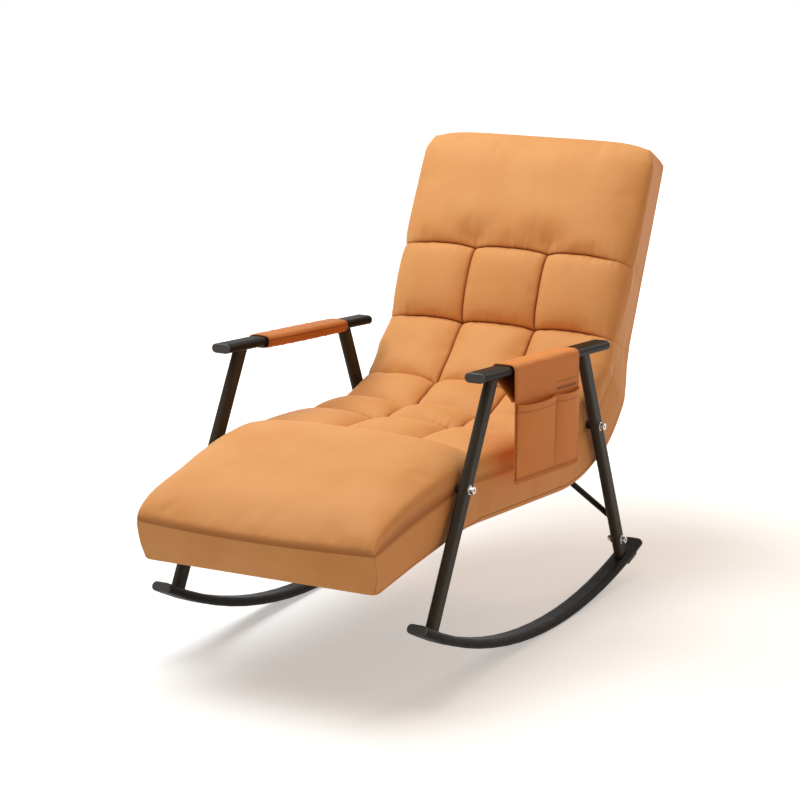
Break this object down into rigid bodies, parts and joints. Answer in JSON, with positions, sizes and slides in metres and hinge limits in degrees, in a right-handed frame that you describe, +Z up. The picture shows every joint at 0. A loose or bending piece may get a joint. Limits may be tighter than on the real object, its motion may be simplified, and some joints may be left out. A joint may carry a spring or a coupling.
{
  "type": "rocking recliner chair",
  "caption": "Rocking lounge chair: quilted back, seat and footrest hinged together between tube side frames on curved runners, with an arm organiser.",
  "frame": {"origin": "on the floor under the middle of the chair's length, on its plane of symmetry (the organiser alone breaks the symmetry)", "axes": "+Z up, +Y from the footrest towards the back, +X towards the sitter's left, the side with the organiser"},
  "size_m": [0.6454, 1.375, 0.9542],
  "materials": {
    "upholstery": "satin",
    "organiser_leather": "satin",
    "sleeve_leather": "satin",
    "frame_paint": "satin",
    "inner_steel": "satin",
    "bright_steel": "satin",
    "black_rubber": "matte",
    "webbing": "matte",
    "under_cloth": "matte"
  },
  "bodies": {
    "chair": {"runner_right": "frame_paint", "runner_left": "frame_paint", "runner_front_cap_right": "black_rubber", "runner_front_cap_left": "black_rubber", "runner_rear_cap_right": "black_rubber", "runner_rear_cap_left": "black_rubber", "arm_tube_right": "frame_paint", "arm_tube_left": "frame_paint", "arm_front_cap_right": "black_rubber", "arm_front_cap_left": "black_rubber", "arm_rear_cap_right": "black_rubber", "arm_rear_cap_left": "black_rubber", "front_leg_right": "frame_paint", "front_leg_left": "frame_paint", "rear_leg_right": "frame_paint", "rear_leg_left": "frame_paint", "runner_stop_right": "black_rubber", "runner_stop_left": "black_rubber", "front_bolt_right": "bright_steel", "front_bolt_left": "bright_steel", "rear_bolt_right": "bright_steel", "rear_bolt_left": "bright_steel", "foot_bolt_right": "bright_steel", "foot_bolt_left": "bright_steel", "foot_nut_right": "bright_steel", "foot_nut_left": "bright_steel", "seat_rail_right": "inner_steel", "seat_rail_left": "inner_steel", "seat_front_cross_tube": "inner_steel", "seat_rear_cross_tube": "inner_steel", "seat_web_1": "webbing", "seat_web_2": "webbing", "seat_web_3": "webbing", "seat_cover": "under_cloth", "footrest_hinge_pin_right": "bright_steel", "footrest_hinge_pin_left": "bright_steel", "back_hinge_pin_right": "bright_steel", "back_hinge_pin_left": "bright_steel", "strut_right": "frame_paint", "strut_left": "frame_paint", "seat_cushion": "upholstery", "arm_sleeve": "sleeve_leather", "arm_organiser": "organiser_leather"},
    "backrest": {"back_side_tube_right": "inner_steel", "back_side_tube_left": "inner_steel", "back_front_cross_tube": "inner_steel", "back_rear_cross_tube": "inner_steel", "back_web_1": "webbing", "back_web_2": "webbing", "back_cover": "under_cloth", "back_cushion": "upholstery"},
    "footrest": {"footrest_side_tube_right": "inner_steel", "footrest_side_tube_left": "inner_steel", "footrest_front_cross_tube": "inner_steel", "footrest_rear_cross_tube": "inner_steel", "footrest_web_1": "webbing", "footrest_cover": "under_cloth", "footrest_cushion": "upholstery"}
  },
  "joints": [
    {"name": "back_recline", "type": "hinge", "parent": "chair", "child": "backrest", "pos_m": [0, 0.342, 0.38349], "axis": [-1, 0, 0], "range_deg": [-10, 38]},
    {"name": "footrest_fold", "type": "hinge", "parent": "chair", "child": "footrest", "pos_m": [0, -0.35365, 0.34578], "axis": [1, 0, 0], "range_deg": [-8, 50]}
  ]
}
